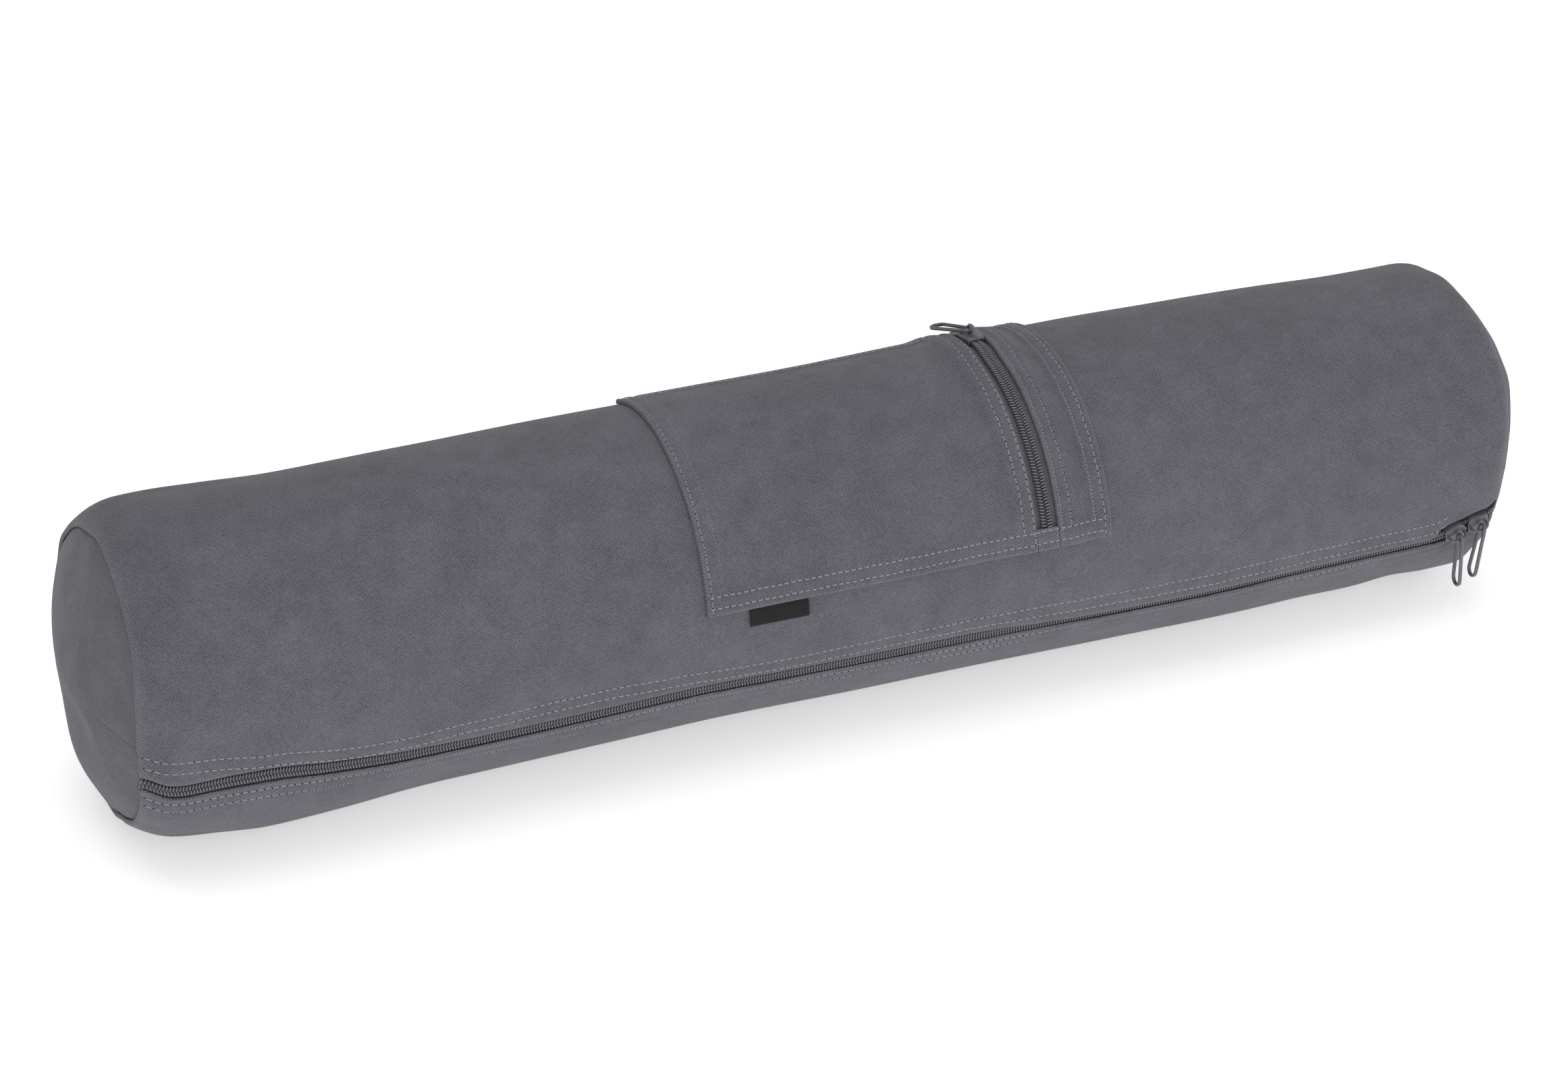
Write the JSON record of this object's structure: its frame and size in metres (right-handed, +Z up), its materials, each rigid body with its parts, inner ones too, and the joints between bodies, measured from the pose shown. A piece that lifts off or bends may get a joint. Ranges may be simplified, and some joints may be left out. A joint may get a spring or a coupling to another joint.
{
  "type": "yoga mat bag",
  "caption": "Closed tube-shaped canvas bag for a rolled yoga mat, with a long coil zip, ring pulls, round end panels and a flat zipped outside pocket.",
  "frame": {"origin": "middle of the flat stretch of the base that the bag rests on", "axes": "+X along the bag towards the two sliders, -Y to the front with the long zip, +Z up"},
  "size_m": [0.6939, 0.1561, 0.1594],
  "materials": {
    "canvas": "matt plain-weave cotton canvas, slate grey",
    "zip_tape": "matt woven polyester tape",
    "zip_coil": "satin nylon coil",
    "zip_metal": "satin grey enamel",
    "label_ribbon": "fine woven black ribbon"
  },
  "bodies": {
    "root": {"body_panel": "canvas", "end_panel_left": "canvas", "end_panel_right": "canvas", "main_zip_tape_upper": "zip_tape", "main_zip_tape_lower": "zip_tape", "main_zip_coil_upper": "zip_coil", "main_zip_coil_lower": "zip_coil", "main_slider_left": "zip_metal", "main_slider_right": "zip_metal", "pocket_panel": "canvas", "pocket_band": "canvas", "pocket_hem_tab": "canvas", "pocket_zip_tape_left": "zip_tape", "pocket_zip_tape_right": "zip_tape", "pocket_zip_coil_left": "zip_coil", "pocket_zip_coil_right": "zip_coil", "pocket_slider": "zip_metal", "label": "label_ribbon"},
    "left_pull": {"main_pull_left": "zip_metal"},
    "right_pull": {"main_pull_right": "zip_metal"},
    "pocket_ring": {"pocket_pull": "zip_metal"}
  },
  "joints": [
    {"name": "left_pull_swing", "type": "hinge", "parent": "root", "child": "left_pull", "pos_m": [0.30664, -0.07567, 0.04326], "axis": [0.9503, -0.0963, 0.2961], "range_deg": [-158, 18]},
    {"name": "right_pull_swing", "type": "hinge", "parent": "root", "child": "right_pull", "pos_m": [0.31768, -0.07677, 0.04695], "axis": [0.9505, -0.0812, 0.2999], "range_deg": [-160, 16]},
    {"name": "pocket_pull_lift", "type": "hinge", "parent": "root", "child": "pocket_ring", "pos_m": [0.08848, 0.01076, 0.15569], "axis": [0.9659, 0.2583, -0.0179], "range_deg": [-1, 145]}
  ]
}
